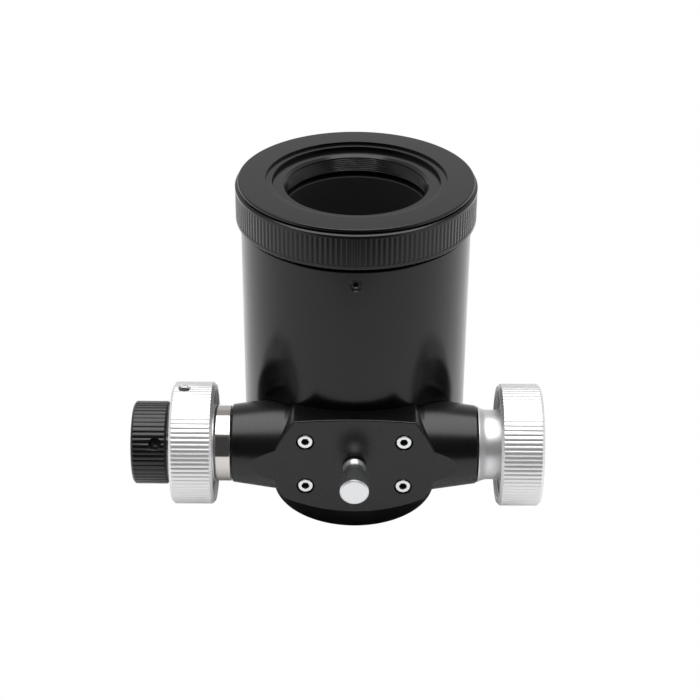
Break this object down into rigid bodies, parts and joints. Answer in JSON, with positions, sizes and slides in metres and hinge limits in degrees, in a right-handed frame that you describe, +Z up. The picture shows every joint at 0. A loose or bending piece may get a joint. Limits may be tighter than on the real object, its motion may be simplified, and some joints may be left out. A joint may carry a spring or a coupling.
{
  "type": "telescope focuser",
  "caption": "Two-inch telescope focuser: a cylindrical body with a knurled coupling ring, a sliding drawtube, and a cross shaft with coarse and fine knobs.",
  "frame": {"origin": "on the standing surface, under the middle of the whole object's box. The optical axis is vertical at X = +6.4 mm, Y = +10.55 mm, and the focus shaft's axis is 38.4 mm up at Y = -22.25 mm.", "axes": "+Z up along the optical axis towards the telescope, +X along the focus shaft from the fine knob's side to the single coarse knob, -Y towards the flat front of the drive housing and its lock screw"},
  "size_m": [0.1486, 0.108, 0.1305],
  "materials": {
    "black_anodised": "satin black anodised, turned and milled",
    "silver_anodised": "clear anodised, fine bead blasted and turned",
    "bright_steel": "polished stainless steel",
    "dark_steel": "black oxide steel",
    "brass": "plain machined brass",
    "nylon": "natural nylon"
  },
  "bodies": {
    "focuser_body": {"body_barrel": "black_anodised", "coupling_grub_screw": "dark_steel", "drive_housing": "black_anodised", "housing_screw_upper_left": "bright_steel", "housing_screw_upper_right": "bright_steel", "housing_screw_lower_left": "bright_steel", "housing_screw_lower_right": "bright_steel", "shaft_bush_left": "brass", "shaft_bush_right": "brass", "reducer_race": "silver_anodised", "guide_rail_left": "black_anodised", "guide_rail_right": "black_anodised", "rail_screw_lower_left": "dark_steel", "rail_screw_upper_left": "dark_steel", "rail_screw_lower_right": "dark_steel", "rail_screw_upper_right": "dark_steel", "roller_axle_upper_left": "bright_steel", "roller_axle_lower_left": "bright_steel", "roller_axle_upper_right": "bright_steel", "roller_axle_lower_right": "bright_steel"},
    "coupling": {"coupling_ring": "black_anodised", "adapter_ring": "black_anodised"},
    "drawtube_assembly": {"drawtube": "black_anodised", "running_strip": "bright_steel", "stop_screw": "dark_steel", "eyepiece_collar": "black_anodised", "compression_band": "brass"},
    "focus_shaft_assembly": {"focus_shaft": "bright_steel", "coarse_knob_left": "silver_anodised", "coarse_knob_right": "silver_anodised", "knob_grub_left": "dark_steel", "knob_grub_right": "dark_steel", "ball_cage": "brass", "reducer_ball_1": "bright_steel", "reducer_ball_2": "bright_steel", "reducer_ball_3": "bright_steel", "reducer_ball_4": "bright_steel"},
    "fine_focus": {"fine_shaft": "bright_steel", "fine_knob": "black_anodised", "fine_knob_grub": "dark_steel"},
    "lock_pad_body": {"lock_pad": "nylon"},
    "lock_screw_body": {"lock_screw": "bright_steel"},
    "clamp_screw_left_body": {"clamp_screw_left": "bright_steel"},
    "clamp_screw_right_body": {"clamp_screw_right": "bright_steel"},
    "roller_upper_left": {"guide_roller_upper_left": "bright_steel"},
    "roller_lower_left": {"guide_roller_lower_left": "bright_steel"},
    "roller_upper_right": {"guide_roller_upper_right": "bright_steel"},
    "roller_lower_right": {"guide_roller_lower_right": "bright_steel"}
  },
  "joints": [
    {"name": "coupling_turn", "type": "hinge", "parent": "focuser_body", "child": "coupling", "pos_m": [0.0064, 0.01055, 0.123], "axis": [0, 0, 1], "continuous": true},
    {"name": "focus_spin", "type": "hinge", "parent": "focuser_body", "child": "focus_shaft_assembly", "pos_m": [0.0064, -0.02225, 0.0384], "axis": [1, 0, 0], "range_deg": [-762, 0]},
    {"name": "drawtube_slide", "type": "slide", "parent": "focuser_body", "child": "drawtube_assembly", "axis": [0, 0, -1], "range_m": [0, 0.04]},
    {"name": "fine_spin", "type": "hinge", "parent": "focuser_body", "child": "fine_focus", "pos_m": [0.0064, -0.02225, 0.0384], "axis": [1, 0, 0], "continuous": true},
    {"name": "lock_pad_travel", "type": "slide", "parent": "focuser_body", "child": "lock_pad_body", "axis": [0, -1, 0], "range_m": [0, 0.0011]},
    {"name": "lock_screw_turn", "type": "hinge", "parent": "lock_pad_body", "child": "lock_screw_body", "pos_m": [0.0064, -0.04545, 0.0384], "axis": [0, -1, 0], "range_deg": [0, 540]},
    {"name": "clamp_turn_left", "type": "hinge", "parent": "drawtube_assembly", "child": "clamp_screw_left_body", "pos_m": [-0.01906, 0.03601, 0.0075], "axis": [-0.7071, 0.7071, 0], "range_deg": [0, 540]},
    {"name": "clamp_turn_right", "type": "hinge", "parent": "drawtube_assembly", "child": "clamp_screw_right_body", "pos_m": [0.03186, 0.03601, 0.0075], "axis": [0.7071, 0.7071, 0], "range_deg": [0, 540]},
    {"name": "roller_spin_upper_left", "type": "hinge", "parent": "focuser_body", "child": "roller_upper_left", "pos_m": [-0.01491, 0.03594, 0.0903], "axis": [0.766, 0.6428, 0], "continuous": true},
    {"name": "roller_spin_lower_left", "type": "hinge", "parent": "focuser_body", "child": "roller_lower_left", "pos_m": [-0.01491, 0.03594, 0.033], "axis": [0.766, 0.6428, 0], "continuous": true},
    {"name": "roller_spin_upper_right", "type": "hinge", "parent": "focuser_body", "child": "roller_upper_right", "pos_m": [0.02771, 0.03594, 0.0903], "axis": [0.766, -0.6428, 0], "continuous": true},
    {"name": "roller_spin_lower_right", "type": "hinge", "parent": "focuser_body", "child": "roller_lower_right", "pos_m": [0.02771, 0.03594, 0.033], "axis": [0.766, -0.6428, 0], "continuous": true}
  ],
  "couplings": [
    {"joint": "drawtube_slide", "follows": "focus_spin", "m_per_rad": -0.003},
    {"joint": "fine_spin", "follows": "focus_spin", "ratio": 10},
    {"joint": "lock_pad_travel", "follows": "lock_screw_turn", "m_per_rad": 0.00011141},
    {"joint": "roller_spin_upper_left", "follows": "focus_spin", "ratio": -0.75},
    {"joint": "roller_spin_lower_left", "follows": "focus_spin", "ratio": -0.75},
    {"joint": "roller_spin_upper_right", "follows": "focus_spin", "ratio": -0.75},
    {"joint": "roller_spin_lower_right", "follows": "focus_spin", "ratio": -0.75}
  ]
}
